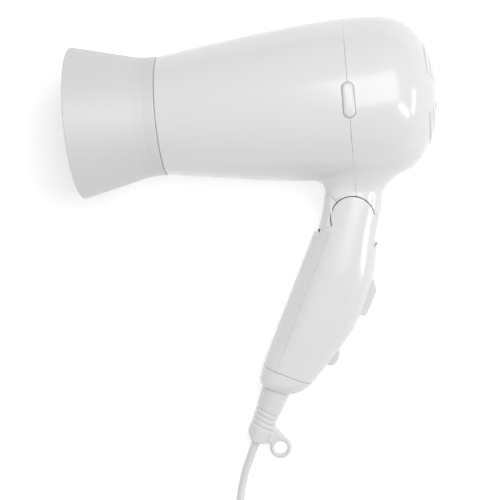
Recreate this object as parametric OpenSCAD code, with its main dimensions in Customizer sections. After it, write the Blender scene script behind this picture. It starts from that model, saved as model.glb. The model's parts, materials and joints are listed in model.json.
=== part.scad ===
// Folding travel hair dryer, lying on its side with its lead coiled beside it, in millimetres.
// The row frame: barrel along X with the nozzle towards -X, handle towards -Y, +Z up.
// The dryer itself is drawn in its own frame: x along the barrel, y away from the handle,
// z square to its mid-plane. lie() then rolls it onto the surface.

/* [Barrel] */
// Largest diameter of the barrel
barrel_d = 74; // [73:0.5:75]
// Length of the front casing ahead of the parting line
front_len = 86.5; // [86:0.5:87]
// Diameter of the front casing at the nozzle
front_end_d = 54.4; // [54:0.2:55]
// Length of the rear casing behind the parting line
rear_len = 39.5; // [39:0.5:41]
// Wall thickness of the casings
wall = 2; // [1.8:0.1:2.2]

/* [Nozzle] */
// Length of the straight collar
collar_len = 8; // [7:0.5:9]
// Total length from the collar's edge to the mouth
nozzle_len = 40; // [38:0.5:42]
// Diameter of the mouth
mouth_d = 70.6; // [69:0.2:72]

/* [Handle] */
// Lean of the handle towards the nozzle
lean = 25.6; // [25:0.2:26]
// Half width of the handle ahead of the pivot line
grip_front = 14.1; // [14:0.1:14.2]
// Half thickness of the handle at the pivot
grip_half = 14; // [13.8:0.1:14.2]
// Distance from the pivot to the seam of the end cap
cap_seam = 79.5; // [79:0.5:80]
// How far the handle folds towards the nozzle
fold_limit = 62; // [55:1:62]

/* [Cord] */
// Width of the flat lead
lead_d = 5.4; // [5:0.1:5.6]
// Thickness of the flat lead
lead_t = 3.4; // [3:0.1:3.6]
// Turns beside each other in each layer of the coil
coil_turns = 4; // [4:1:5]

/* [Lie] */
// Roll of the dryer about its barrel when it lies down
lie_angle = 11.5; // [11:0.1:12]

/* [Hidden] */
$fn = 96;

// Barrel
barrel_r = barrel_d / 2;
split_x = -0.5;
tab_proud = 0.8;
spigot_r = 24.4;
spigot_len = 9;
duct_r = 22.5;
motor_r = 12;
shaft_r = 1.2;

// Nozzle
nozzle_bore_r = spigot_r + 0.1;
collar_r = front_end_d / 2 + 0.2;
bead_h = 0.5;

// Neck and pivot
pivot = [-2.9, -53.4];
neck_lean = 13.6;
neck_shift = -0.6;
neck_half_x = 13.7;
neck_half_z = 13.4;
cheek_r = 9.8;
cheek_gap = 0.3;
cheek_inner = 8.8;
knuckle_half = 8.3;
pin_r = 3;
pin_clearance = 0.05;

// Handle outline: distance from the pivot, rear half width
REAR_EDGE = [[-12, 11.6], [0, 13.5], [10, 16.1], [22, 19], [30, 20.2], [38, 20.4], [45, 20.1],
    [55, 18.1], [65, 15.4], [75, 12.3], [82, 9.8], [86, 7.4], [88.6, 4.8], [90, 1.6]];
FRONT_EDGE = [[-12, 1], [82, 1], [86, 0.93], [88.6, 0.8], [90, 0.62]];
// Handle outline: distance from the pivot, half thickness against the pivot's
HALF_THICK = [[-12, 1], [26, 1], [50, 0.95], [82, 0.82], [86, 0.77], [88.6, 0.67], [90, 0.5]];
grip_wide = 20.4;
grip_parting = -7.4;
relief_y = -3.9;
relief_end = 116;
ring_at = [114.4, 7.9];
ring_r = 5.1;
ring_hole_r = 3.2;

// The middle of the dryer's own box, which the row frame puts at its origin
middle = [-43.5, -62.6];

// Cord: the coil's centre, and the route of the lead from the strain relief to the coil
coil_at = [10.6, -160];
coil_z = 0.45;
coil_mid_r = 30;
coil_in_r = coil_mid_r - coil_turns * lead_t / 2;
coil_out_r = coil_mid_r + coil_turns * lead_t / 2;
lead_r = lead_d / 2;
layer_1_z = coil_z + lead_r;
layer_2_z = layer_1_z + lead_d;
coil_top = coil_z + 2 * lead_d;
stub_len = 19;
tail_end_x = 34;
LEAD_ROUTE = [[-13, -90.6, 6.6], [-14.8, -94.2, 5.95], [-16.4, -97.7, 5.3], [-18, -101.2, 4.7],
    [-19.4, -104.7, 4.15], [-20.6, -108.2, 3.7], [-21.6, -111.8, 3.4], [-22.5, -115.6, 3.2],
    [-23.2, -119.4, 3.15], [-23.7, -123.2, 3.15], [-24.1, -127, 3.15], [-24.3, -130.5, 3.15],
    [-24.4, -134, 3.15], [-24.5, -137.5, 3.15], [-24.5, -141, 3.15]];
plug_rear_x = tail_end_x + 8;
plug_len = 33;
plug_half_w = 13;
plug_half_t = 8.5;
plug_pin_r = 2;
plug_pin_len = 19;
plug_pin_gap = 18.6;

// ---- Outlines and frames ----

// Radius of the front casing: it narrows ever faster towards the nozzle
function front_r(x) =
    barrel_r - (barrel_r - front_end_d / 2) * pow(max(0, -x) / front_len, 1.43);

// Radius of the rear casing: a squared-off dome
function rear_r(x) = barrel_r * sqrt(max(0, 1 - pow(x / rear_len, 4)));

// One corner of a squared ellipse, with its half sizes and the angle round it
function squared(a, b, t, n = 3) = [
    a * sign(cos(t)) * pow(abs(cos(t)), 2 / n),
    b * sign(sin(t)) * pow(abs(sin(t)), 2 / n)];

// A closed solid through rings of the same number of points
module loft(rings) {
    n = len(rings[0]);
    last = len(rings) - 1;
    sides = [for (k = [0 : last - 1], i = [0 : n - 1]) each [
        [k * n + i, k * n + (i + 1) % n, (k + 1) * n + i],
        [k * n + (i + 1) % n, (k + 1) * n + (i + 1) % n, (k + 1) * n + i]]];
    ends = [[for (i = [n - 1 : -1 : 0]) i], [for (i = [0 : n - 1]) last * n + i]];
    polyhedron([for (r = rings) each r], concat(sides, ends));
}

// Turned shapes along x, from a list of [x, r]
module turned(points) {
    rotate([0, 90, 0]) rotate([0, 0, 90])
        rotate_extrude() polygon([for (p = points) [p[1], p[0]]]);
}

module rod(x0, x1, r) {
    translate([x0, 0, 0]) rotate([0, 90, 0]) cylinder(h = x1 - x0, r = r);
}

module tube(x0, x1, r_out, r_in) {
    difference() {
        rod(x0, x1, r_out);
        rod(x0 - 1, x1 + 1, r_in);
    }
}

module lie() {
    translate([-middle[0], -middle[1], barrel_r + tab_proud]) rotate([lie_angle, 0, 0]) children();
}

// The handle's frame: x down the handle from the pivot, y to its rear, z with the dryer's z
module in_handle() {
    lie() translate([pivot[0], pivot[1], 0]) rotate([0, 0, 270 - lean]) children();
}

module at_pivot() {
    translate([pivot[0], pivot[1], 0]) children();
}

// ---- Casings ----

// The solid of each casing, or the space inside it, which runs on past the parting line
module front_solid(inset = 0) {
    steps = 14;
    past = inset > 0 ? 3 : 0;
    xs = [for (i = [1 : steps]) split_x - (front_len + split_x) * i / steps];
    turned(concat([[split_x + past, 0], [split_x + past, barrel_r - inset]],
        [for (x = xs) [x, front_r(x) - inset]], [[-front_len, 0]]));
}

module rear_solid(inset = 0) {
    steps = 18;
    past = inset > 0 ? 3 : 0;
    ends = rear_len - inset;
    narrower = (barrel_r - inset) / barrel_r;
    xs = [for (i = [steps - 1 : -1 : 1]) ends * sin(90 * i / steps)];
    turned(concat([[ends, 0]], [for (x = xs) [x, rear_r(x * rear_len / ends) * narrower]],
        [[split_x - past, barrel_r - inset], [split_x - past, 0]]));
}

// The neck, a leaning tube with a squared section, from inside the barrel to below the pivot
module neck_bar(inset = 0, top = 36, bottom = 7) {
    at_pivot() rotate([0, 0, -neck_lean]) translate([neck_shift, -bottom, 0]) rotate([-90, 0, 0])
        linear_extrude(top + bottom)
            polygon([for (i = [0 : 35])
                squared(neck_half_x - inset, neck_half_z - inset, i * 10, 2.8)]);
}

// Where the handle's front wall passes when it folds: the neck is slimmer there
FOLD_EDGE = [[cheek_r, 11.3], [13, 10.3], [15, 9.2], [16.5, 7.2]];
fold_out_r = 21;

// The fold edge and its mirror image, one after the other, moved out by a gap
function both_edges(gap) = concat([for (p = FOLD_EDGE) p + [gap, gap]],
    [for (i = [len(FOLD_EDGE) - 1 : -1 : 0]) [FOLD_EDGE[i][0] + gap, -FOLD_EDGE[i][1] - gap]]);

module fold_path() {
    at_pivot() rotate([0, 0, 191 - fold_limit]) rotate_extrude(angle = fold_limit + 37)
        polygon(concat([[cheek_r, 20]], both_edges(0),
            [[cheek_r, -20], [fold_out_r, -20], [fold_out_r, 20]]));
}

// What is cut from the neck: its hollow, the handle's path, the handle's rear at rest and the
// round recesses of the cheeks
module neck_cuts() {
    neck_bar(wall, 20, 12);
    fold_path();
    at_pivot() rotate([0, 0, 270 - lean]) linear_extrude(60, center = true)
        polygon([[-5.2, 9], [-6.7, 14], [-6.7, 30], [60, 30], [60, 0], [0, 0]]);
    at_pivot() for (side = [0, 1]) mirror([0, 0, side]) translate([0, 0, cheek_inner - 0.2])
        cylinder(h = 10, r = cheek_r + cheek_gap);
}

// Screw bosses between the casings, at four places round the parting line
module at_bosses() {
    for (a = [45 : 90 : 315]) rotate([a, 0, 0]) translate([0, 32, 0]) children();
}

// The side tabs' outline, seen along z
module clip_shape(grow = 0) {
    hull() for (y = [-5.5, 5.5]) translate([split_x, y]) circle(r = 2.7 + grow, $fn = 32);
}

module clip_pockets() {
    for (side = [0, 1]) mirror([0, 0, side]) translate([0, 0, 30])
        linear_extrude(10) clip_shape(0.08);
}

module front_casing() {
    color("white") lie() difference() {
        union() {
            difference() {
                union() {
                    front_solid();
                    intersection() {
                        neck_bar();
                        translate([-60, -70, -30]) cube([60 + split_x, 60, 60]);
                    }
                }
                front_solid(wall);
                neck_cuts();
            }
            intersection() {
                tube(-front_len, -front_len + 2.5, front_end_d / 2, spigot_r - wall / 2);
                front_solid();
            }
            tube(-front_len - spigot_len, -front_len + 1, spigot_r, spigot_r - wall);
            tube(-front_len - 7, -front_len - 6, spigot_r + bead_h, spigot_r - wall / 2);
            at_bosses() rod(-14, split_x, 3);
        }
        at_bosses() rod(-13, 1, 1.3);
        clip_pockets();
    }
}

// Curved slots round the dome, in four groups between its spokes
module intake_slots() {
    for (quarter = [12, 112, 192, 292], r = [9.5 : 4.5 : 23])
        rotate([0, 90, 0]) rotate([0, 0, 90 + quarter]) rotate_extrude(angle = 56)
            translate([r - 0.8, 25]) square([1.6, 20]);
}

module rear_casing() {
    color("white") lie() difference() {
        union() {
            difference() {
                union() {
                    rear_solid();
                    intersection() {
                        neck_bar();
                        translate([split_x, -70, -30]) cube([60, 60, 60]);
                    }
                }
                rear_solid(wall);
                neck_cuts();
                intake_slots();
            }
            at_bosses() rod(split_x, 10, 3);
        }
        at_bosses() rod(-2, 20, 1.5);
        clip_pockets();
    }
}

module side_clips() {
    color("white") lie() for (side = [0, 1]) mirror([0, 0, side]) intersection() {
        translate([0, 0, 30]) linear_extrude(10) clip_shape();
        tube(-10, 10, barrel_r + tab_proud, barrel_r - wall);
    }
}

module casing_screws() {
    color("silver") lie() at_bosses() {
        rod(-12, 10, 1.25);
        rod(10, 12, 2.6);
    }
}

// ---- Air path: nozzle, heater, fan and motor ----

module nozzle() {
    x0 = -front_len;
    x1 = x0 - collar_len;
    x2 = x0 - nozzle_len;
    mouth_r = mouth_d / 2;
    color("gainsboro") lie() difference() {
        turned([[x0 - 0.2, nozzle_bore_r], [x0 - 0.2, collar_r], [x1, collar_r + 0.5],
            [x1 - 4, collar_r + 1.5], [x2, mouth_r], [x2, mouth_r - 1.6],
            [x1 - 4, collar_r - 0.2], [x1 - 3, nozzle_bore_r], [x1, nozzle_bore_r]]);
        tube(x0 - 7.1, x0 - 5.9, spigot_r + bead_h + 0.1, spigot_r - 1);
    }
}

module outlet_grille() {
    x0 = -front_len - 6;
    color("dimgray") lie() union() {
        for (r = [6 : 5.2 : 22]) tube(x0, x0 + 1.6, r + 0.6, r - 0.6);
        tube(x0, x0 + 1.6, spigot_r - wall - 0.05, spigot_r - wall - 1.4);
        for (a = [0 : 45 : 135]) rotate([a, 0, 0]) translate([x0, -22, -0.5]) cube([1.6, 44, 1]);
    }
}

module mica_tube() {
    color("tan") lie() tube(-86, -24, 21.6, 21);
}

coil_ring_r = 16.5;
COIL_RINGS = [for (i = [0 : 9]) -82 + i * 5];

module coil_rings(wire) {
    for (x = COIL_RINGS) translate([x, 0, 0]) rotate([0, 90, 0])
        rotate_extrude() translate([coil_ring_r, 0]) circle(r = wire, $fn = 24);
}

module mica_frame() {
    color("tan") lie() difference() {
        for (a = [0, 90]) rotate([a, 0, 0]) translate([-85, -20.5, -0.4]) cube([53, 41, 0.8]);
        coil_rings(0.9);
    }
}

module heating_coil() {
    color("dimgray") lie() coil_rings(0.6);
}

module thermostat() {
    color("silver") lie() translate([0, 9, 9]) {
        rod(-30, -26, 4.5);
        rod(-26, -24, 2.5);
    }
}

module thermal_fuse() {
    color("silver") lie() translate([0, -9, 9]) rod(-31, -22, 1.6);
}

module fan_duct() {
    color("ivory") lie() union() {
        tube(-21, 22, duct_r + 1.2, duct_r);
        tube(-12, 4, motor_r + 1.6, motor_r + 0.1);
        for (a = [0 : 60 : 300]) rotate([a, 0, 0]) translate([-11, motor_r + 1, -0.7])
            cube([14, duct_r - motor_r - 0.5, 1.4]);
    }
}

module motor_can() {
    color("silver") lie() difference() {
        rod(-14, 6, motor_r);
        rod(-15, 4, motor_r - 1);
        rod(3, 7, shaft_r + pin_clearance);
    }
}

module motor_end_cap() {
    color("white") lie() difference() {
        union() {
            rod(-16, -14, motor_r);
            rod(-14, -11, motor_r - 1.2);
        }
        rod(-17, -10, shaft_r + pin_clearance);
    }
}

module rectifier_board() {
    color("darkgreen") lie() union() {
        tube(-18.2, -16.6, 10.5, 4);
        for (a = [45 : 90 : 315]) rotate([a, 0, 0]) translate([-20.4, 5, -1.2]) cube([2.4, 4, 2.4]);
    }
}

// The shaft carries the motor's rotor inside the can
module motor_shaft() {
    color("silver") lie() union() {
        rod(-15.5, 19, shaft_r);
        rod(-10, 2.6, 9.5);
    }
}

module fan_impeller() {
    blades = 7;
    color("dimgray") lie() difference() {
        union() {
            rod(9, 19.5, 7);
            for (i = [0 : blades - 1]) rotate([i * 360 / blades, 0, 0])
                translate([14, 6, 0]) rotate([0, 38, 0]) translate([-0.6, 0, -6])
                    cube([1.2, 15.6, 12]);
        }
        rod(8, 15, 5.6);
        rod(8, 25, shaft_r + 0.02);
    }
}

module intake_screen() {
    color("dimgray") lie() difference() {
        rod(25, 26.2, 30.2);
        for (ring = [0 : 2], a = [0 : 360 / (8 + 6 * ring) : 359])
            rotate([a, 0, 0]) translate([0, 10 + ring * 7.5, 0]) rod(24, 27, 2.2);
        rod(24, 27, 4);
    }
}

// ---- Hinge ----

module hinge_knuckle() {
    color("ivory") lie() difference() {
        union() {
            at_pivot() translate([0, 0, -knuckle_half]) cylinder(h = 2 * knuckle_half, r = 9);
            at_pivot() rotate([0, 0, -neck_lean]) translate([-8, 0, -knuckle_half])
                cube([16, 15, 2 * knuckle_half]);
        }
        at_pivot() translate([0, 0, -20]) cylinder(h = 40, r = pin_r + pin_clearance);
        at_pivot() rotate([0, 0, -neck_lean]) translate([0, 5, 0]) rotate([-90, 0, 0])
            cylinder(h = 20, r = 2.6);
    }
}

module friction_washers() {
    color("silver") lie() at_pivot() for (side = [0, 1]) mirror([0, 0, side])
        translate([0, 0, knuckle_half]) difference() {
            cylinder(h = 0.3, r = 8);
            translate([0, 0, -1]) cylinder(h = 3, r = 3.4);
        }
}

module pivot_pin() {
    color("silver") lie() at_pivot() translate([0, 0, -11.5]) cylinder(h = 23, r = pin_r);
}

// ---- Handle ----

// The handle's outside, or its inside with a wall's inset: its side, plan and end outlines crossed
module grip_body(inset = 0, from = -12, to = 90) {
    mid = (grip_wide - grip_front) / 2;
    half = (grip_wide + grip_front) / 2 - inset;
    intersection() {
        linear_extrude(40, center = true) polygon(concat(
            [for (p = REAR_EDGE) [p[0], p[1] - inset]],
            [for (i = [len(FRONT_EDGE) - 1 : -1 : 0])
                [FRONT_EDGE[i][0], inset - FRONT_EDGE[i][1] * grip_front]]));
        rotate([90, 0, 0]) linear_extrude(60, center = true) polygon(concat(
            [for (p = HALF_THICK) [p[0], p[1] * grip_half - inset]],
            [for (i = [len(HALF_THICK) - 1 : -1 : 0])
                [HALF_THICK[i][0], inset - HALF_THICK[i][1] * grip_half]]));
        translate([from, mid, 0]) rotate([90, 0, 90]) linear_extrude(to - from)
            polygon([for (i = [0 : 39]) squared(half, grip_half - inset, i * 9)]);
    }
}

// Everything of the handle above the neck's shoulders, which the round cheek alone passes
module shoulder_cut() {
    linear_extrude(60, center = true)
        polygon([[-40, -30], [13.6, -30], [13.6, -14.1], [9.6, -11.4], [7, -8], [0, 0],
            [-4.9, 9], [-6.4, 14], [-6.4, 30], [-40, 30]]);
}

module grip_shell() {
    difference() {
        union() {
            difference() {
                grip_body(0, -12, cap_seam);
                grip_body(wall, -14, cap_seam + 1);
                shoulder_cut();
                cylinder(h = 60, r = cheek_r - 1, center = true);
            }
            intersection() {
                grip_body(0, -12, 30);
                cylinder(h = 60, r = cheek_r, center = true);
            }
        }
        translate([0, 0, -cheek_inner]) cylinder(h = 2 * cheek_inner, r = 16.7);
        neck_sweep();
        translate([0, 0, -11.5]) cylinder(h = 23, r = pin_r);
    }
}

// Room inside the handle for the lower end of the neck as it folds
module neck_sweep() {
    rotate([0, 0, -fold_limit]) rotate_extrude(angle = fold_limit + 38)
        polygon(concat([[cheek_r - 0.1, FOLD_EDGE[0][1] + 0.3]], both_edges(0.3),
            [[cheek_r - 0.1, -FOLD_EDGE[0][1] - 0.3]]));
}

// Slot for the slide switch and the hole for the lower button, in the rear of the handle
module grip_openings() {
    translate([23, 10, -4.2]) cube([26, 15, 8.4]);
    translate([59.7, 8, -3.7]) cube([9.6, 15, 7.4]);
}

module handle_rear_shell() {
    color("white") in_handle() difference() {
        grip_shell();
        translate([10, grip_parting - 50, -20]) cube([120, 50, 40]);
        grip_openings();
    }
}

module handle_front_shell() {
    color("white") in_handle() intersection() {
        grip_shell();
        translate([10, grip_parting - 50, -20]) cube([120, 50, 40]);
    }
}

module end_cap() {
    color("white") in_handle() difference() {
        grip_body(0, cap_seam, 90);
        grip_body(wall, cap_seam - 1, 84);
        translate([80, relief_y, 0]) rod(0, 20, 5);
    }
}

// Two screws through the front shell's bosses
module handle_screws() {
    color("silver") in_handle() for (s = [20, 68]) translate([s, -11.9, 0]) rotate([-90, 0, 0]) {
        cylinder(h = 2, r = 2.6);
        cylinder(h = 9, r = 1.3);
    }
}

module switch_body() {
    color("dimgray") in_handle() difference() {
        translate([24, 4.5, -6]) cube([22, 9, 12]);
        translate([26, 9, -3.2]) cube([18, 6, 6.4]);
    }
}

// The knob slides with its carriage: off at rest, then two speeds further down the handle
module switch_carriage() {
    color("gray") in_handle() translate([26.1, 9.4, -3]) cube([9.8, 7.6, 6]);
}

module switch_knob() {
    color("white") in_handle() difference() {
        union() {
            translate([23.2, 17.05, -3.9]) cube([17.6, 3.6, 7.8]);
            intersection() {
                translate([24, 20, -3.9]) cube([17.5, 3, 7.8]);
                translate([32, 4, 0]) cylinder(h = 7.8, r = 18.9, center = true);
            }
        }
        translate([22, 20.6, -5]) rotate([0, 0, 3]) cube([3, 6, 10]);
    }
}

module cool_switch() {
    color("dimgray") in_handle() translate([60, 0, -4]) cube([9, 7, 8]);
}

module cool_button() {
    color("white") in_handle() union() {
        intersection() {
            translate([60, 12, -3.4]) cube([9, 6, 6.8]);
            translate([64.5, 5.7, 0]) cylinder(h = 7, r = 12, center = true);
        }
        translate([64.5, 9, 0]) rotate([-90, 0, 0]) cylinder(h = 4, r = 1.2);
    }
}

module button_spring() {
    color("silver") in_handle() translate([64.5, 7.05, 0]) rotate([-90, 0, 0])
        for (i = [0 : 2]) translate([0, 0, 0.35 + i * 0.9]) rotate_extrude()
            translate([2, 0]) circle(r = 0.3, $fn = 16);
}

module terminal_block() {
    color("ivory") in_handle() translate([50, -3, -6]) cube([8, 8, 12]);
}

module inner_leads() {
    color("saddlebrown") in_handle() for (z = [-2.6, 2.6]) translate([58.1, 0, z])
        translate([0, -2.6, 0]) rod(0, 13.8, 1.1);
}

module cord_clamp() {
    color("ivory") in_handle() translate([72.1, -9, -7]) cube([5, 11, 14]);
}

// ---- Strain relief and cord ----

module strain_relief() {
    grooves = [97.5, 100.6, 103.7, 106.8];
    color("whitesmoke") in_handle() difference() {
        union() {
            translate([0, relief_y, 0]) difference() {
                turned([[81, 0], [81, 6.5], [83.9, 6.5], [83.9, 4.9], [90.05, 4.9], [90.05, 6.6],
                    [96, 6], [109, 5.5], [113, 5.6], [relief_end, 4.2], [relief_end, 0]]);
                for (s = grooves) tube(s, s + 1.3, 8, 4.8);
            }
            linear_extrude(4, center = true) {
                translate(ring_at) circle(r = ring_r);
                polygon([[104.5, relief_y], [104.5, 1.4], [110.7, ring_at[1] + 3.5],
                    [ring_at[0] - 1, ring_at[1] - 4.8], [113, 1], [113, relief_y]]);
            }
        }
        translate([ring_at[0], ring_at[1], -10]) cylinder(h = 20, r = ring_hole_r);
    }
}

function unit(v) = v / norm(v);

// Direction of the route at a point, from the points on both sides of it
function heading(route, i) =
    unit(route[min(i + 1, len(route) - 1)] - route[max(i - 1, 0)]);

function tube_ring(p, dir, r, n) =
    let (side = unit(cross(dir, [0, 0, 1])), up = cross(side, dir))
    [for (k = [0 : n - 1]) p + r * (cos(360 * k / n) * up + sin(360 * k / n) * side)];

module swept_tube(route, r, n = 10) {
    loft([for (i = [0 : len(route) - 1]) tube_ring(route[i], heading(route, i), r, n)]);
}

module cord_lead() {
    color("whitesmoke") swept_tube(LEAD_ROUTE, lead_r);
}

module cord_coil() {
    color("whitesmoke") union() {
        translate([coil_at[0], coil_at[1], 0]) rotate_extrude() hull() {
            for (r = [coil_in_r + 1.7, coil_out_r - 1.7], z = [coil_z + 1.7, coil_top - 1.7])
                translate([r, z]) circle(r = 1.7, $fn = 32);
        }
        translate([coil_at[0] - coil_out_r + lead_t / 2, coil_at[1], layer_1_z])
            rotate([-90, 0, 0]) cylinder(h = stub_len, r = lead_r - 0.02);
        translate([coil_at[0], coil_at[1] - coil_out_r + lead_t / 2, layer_2_z])
            rotate([0, 90, 0]) cylinder(h = tail_end_x - coil_at[0], r = lead_r);
    }
}

// A band round the coil's turns
module cord_tie() {
    band = 0.4;
    inner = coil_in_r - coil_mid_r - 0.2;
    outer = coil_out_r - coil_mid_r + 0.05;
    color("white") translate([coil_at[0], coil_at[1], 0]) rotate([0, 0, 40])
        translate([coil_mid_r, 0, 0]) rotate([90, 0, 0]) linear_extrude(5, center = true)
            difference() {
                translate([inner - band, 0.05]) square([outer - inner + 2 * band, coil_top + band]);
                translate([inner, coil_z - 0.03]) square([outer - inner, coil_top - coil_z + 0.06]);
            }
}

// The flat two-pin plug, lying with its pins level
module plug_body() {
    y = coil_at[1] - coil_out_r + lead_t / 2;
    color("whitesmoke") translate([0, y, plug_half_t]) union() {
        translate([tail_end_x, 0, layer_2_z - plug_half_t]) rotate([0, 90, 0])
            cylinder(h = 9, r1 = 3.6, r2 = 5);
        linear_extrude(2 * plug_half_t, center = true)
            polygon([[plug_rear_x, -5.5], [plug_rear_x + 8, -7.5], [plug_rear_x + 22, -plug_half_w],
                [plug_rear_x + plug_len, -plug_half_w], [plug_rear_x + plug_len, plug_half_w],
                [plug_rear_x + 22, plug_half_w], [plug_rear_x + 8, 7.5], [plug_rear_x, 5.5]]);
    }
}

module plug_pins() {
    y = coil_at[1] - coil_out_r + lead_t / 2;
    color("gold") for (side = [-1, 1])
        translate([plug_rear_x + plug_len, y + side * plug_pin_gap / 2, plug_half_t])
            rotate([0, 90, 0]) cylinder(h = plug_pin_len, r = plug_pin_r);
}

front_casing();
rear_casing();
side_clips();
nozzle();
outlet_grille();
mica_tube();
mica_frame();
heating_coil();
thermostat();
thermal_fuse();
fan_duct();
motor_can();
motor_end_cap();
rectifier_board();
motor_shaft();
fan_impeller();
intake_screen();
casing_screws();
hinge_knuckle();
friction_washers();
pivot_pin();
handle_rear_shell();
handle_front_shell();
end_cap();
handle_screws();
switch_body();
switch_carriage();
switch_knob();
cool_switch();
cool_button();
button_spring();
terminal_block();
inner_leads();
cord_clamp();
strain_relief();
cord_lead();
cord_coil();
cord_tie();
plug_body();
plug_pins();
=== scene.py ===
"""A folding travel hair dryer lying on its side, with its flat lead coiled beside it.

Shapes are drawn in millimetres, in the dryer's own frame (x along the barrel, y away from the
handle, z square to its mid-plane) or the handle's (s down the handle from the pivot, t to its
rear, w with z), and placed in the row frame by what the joints say.
"""

import json
import math

import bpy
import numpy as np
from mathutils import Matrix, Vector


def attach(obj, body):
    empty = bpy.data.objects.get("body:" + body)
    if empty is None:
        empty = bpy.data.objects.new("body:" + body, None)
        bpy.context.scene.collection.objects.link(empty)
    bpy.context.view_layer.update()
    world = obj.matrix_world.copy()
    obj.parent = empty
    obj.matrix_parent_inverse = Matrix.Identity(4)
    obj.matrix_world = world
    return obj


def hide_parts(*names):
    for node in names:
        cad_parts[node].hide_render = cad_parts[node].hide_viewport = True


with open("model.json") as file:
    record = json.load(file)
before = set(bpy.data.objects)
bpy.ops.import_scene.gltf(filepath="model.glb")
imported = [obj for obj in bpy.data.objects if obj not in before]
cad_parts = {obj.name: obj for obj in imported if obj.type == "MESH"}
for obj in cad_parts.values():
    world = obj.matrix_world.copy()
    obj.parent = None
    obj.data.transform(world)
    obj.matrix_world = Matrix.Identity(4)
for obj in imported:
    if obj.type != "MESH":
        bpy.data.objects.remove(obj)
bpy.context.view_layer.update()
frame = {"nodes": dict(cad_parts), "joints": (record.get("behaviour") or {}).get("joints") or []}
MM = 0.001

# ---- Frames, from the joints ----

joints = {j["name"]: j for j in frame["joints"]}
LEAN = math.radians(25.6)
PIVOT = np.array([-2.9, -53.4])
z_dir = -np.array(joints["handle_fold"]["axis"], float)
x_dir = np.array([1.0, 0.0, 0.0])
y_dir = np.cross(z_dir, x_dir)
hinge = np.array(joints["handle_fold"]["pos_m"], float)
DRYER = np.array([x_dir, y_dir, z_dir])
DRYER_AT = hinge - MM * (PIVOT[0] * x_dir + PIVOT[1] * y_dir)
s_dir = -math.sin(LEAN) * x_dir - math.cos(LEAN) * y_dir
t_dir = math.cos(LEAN) * x_dir - math.sin(LEAN) * y_dir
HANDLE = np.array([s_dir, t_dir, z_dir])


def dryer_to_row(p):
    return DRYER_AT + MM * np.asarray(p, float) @ DRYER


def handle_to_row(p):
    return hinge + MM * np.asarray(p, float) @ HANDLE


def row_mm(p):
    return MM * np.asarray(p, float)


# ---- Camera ----

camera = bpy.data.objects.new("camera", bpy.data.cameras.new("camera"))
bpy.context.scene.collection.objects.link(camera)
camera.data.lens, camera.data.sensor_width = 98.86, 36
camera.location = (0.0435, -0.0640, 0.66006)
camera.rotation_euler = [math.radians(angle) for angle in (5.258, 5.037, -4.064)]
bpy.context.scene.camera = camera

# ---- Mesh building ----


def link(name, mesh, body, stands_for=()):
    piece = bpy.data.objects.new(name, mesh)
    bpy.context.scene.collection.objects.link(piece)
    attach(piece, body)
    if stands_for:
        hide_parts(*stands_for)
    return piece


def make_mesh(name, verts, quads, normals=None, sharp=35):
    """A mesh from arrays. Normals are one per corner; without them edges over sharp degrees are hard."""
    mesh = bpy.data.meshes.new(name)
    verts, quads = np.asarray(verts, float), np.asarray(quads, int)
    size = quads.shape[1]
    mesh.vertices.add(len(verts))
    mesh.vertices.foreach_set("co", verts.astype(np.float32).ravel())
    mesh.loops.add(quads.size)
    mesh.loops.foreach_set("vertex_index", quads.astype(np.int32).ravel())
    mesh.polygons.add(len(quads))
    mesh.polygons.foreach_set("loop_start", np.arange(0, quads.size, size, dtype=np.int32))
    mesh.polygons.foreach_set("loop_total", np.full(len(quads), size, np.int32))
    mesh.polygons.foreach_set("use_smooth", np.ones(len(quads), bool))
    mesh.update(calc_edges=True)
    if normals is None:
        mesh.set_sharp_from_angle(angle=math.radians(sharp))
    else:
        mesh.normals_split_custom_set(normals.tolist())
    return mesh


def rows_to_quads(m, n):
    """Quads of a grid of m rings with n points."""
    i, k = np.meshgrid(np.arange(m - 1), np.arange(n), indexing="ij")
    j = (k + 1) % n
    return np.stack([i * n + k, i * n + j, (i + 1) * n + j, (i + 1) * n + k], -1).reshape(-1, 4)


def joined(shapes):
    """Several shapes of verts and quads as one."""
    starts = np.cumsum([0] + [len(verts) for verts, _ in shapes])
    return (np.vstack([verts for verts, _ in shapes]),
            np.vstack([quads + start for (_, quads), start in zip(shapes, starts)]))


def gradient(f, p, e=0.02):
    g = np.empty_like(p)
    for k in range(3):
        d = np.zeros(3)
        d[k] = e
        g[:, k] = f(p + d) - f(p - d)
    return g / np.maximum(np.linalg.norm(g, axis=1, keepdims=True), 1e-12)


def sample(f, lo, n, step):
    """The function's values at the points of a grid, worked out in slabs."""
    axes = [lo[k] + step * np.arange(n[k]) for k in range(3)]
    value = np.empty(n)
    slab = 16
    for i in range(0, n[0], slab):
        block = np.stack(np.meshgrid(axes[0][i:i + slab], axes[1], axes[2], indexing="ij"), -1)
        value[i:i + slab] = f(block.reshape(-1, 3)).reshape(block.shape[:3])
    return np.where(np.abs(value) < 1e-9, 1e-9, value)


def crossing(f, p0, k, step, v0, v1):
    """Where the surface crosses the grid edges that start at p0 along axis k."""
    t0, t1 = np.zeros(len(p0)), np.ones(len(p0))
    for turn in range(6):
        t = t0 + (t1 - t0) * (v0 / (v0 - v1) if turn % 2 == 0 else 0.5)
        p = p0.copy()
        p[:, k] += step * t
        vt = f(p)
        same = (vt < 0) == (v0 < 0)
        t0, v0 = np.where(same, t, t0), np.where(same, vt, v0)
        t1, v1 = np.where(same, t1, t), np.where(same, v1, vt)
    p = p0.copy()
    p[:, k] += step * (t0 + (t1 - t0) * v0 / (v0 - v1 + 1e-15))
    return p


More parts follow.
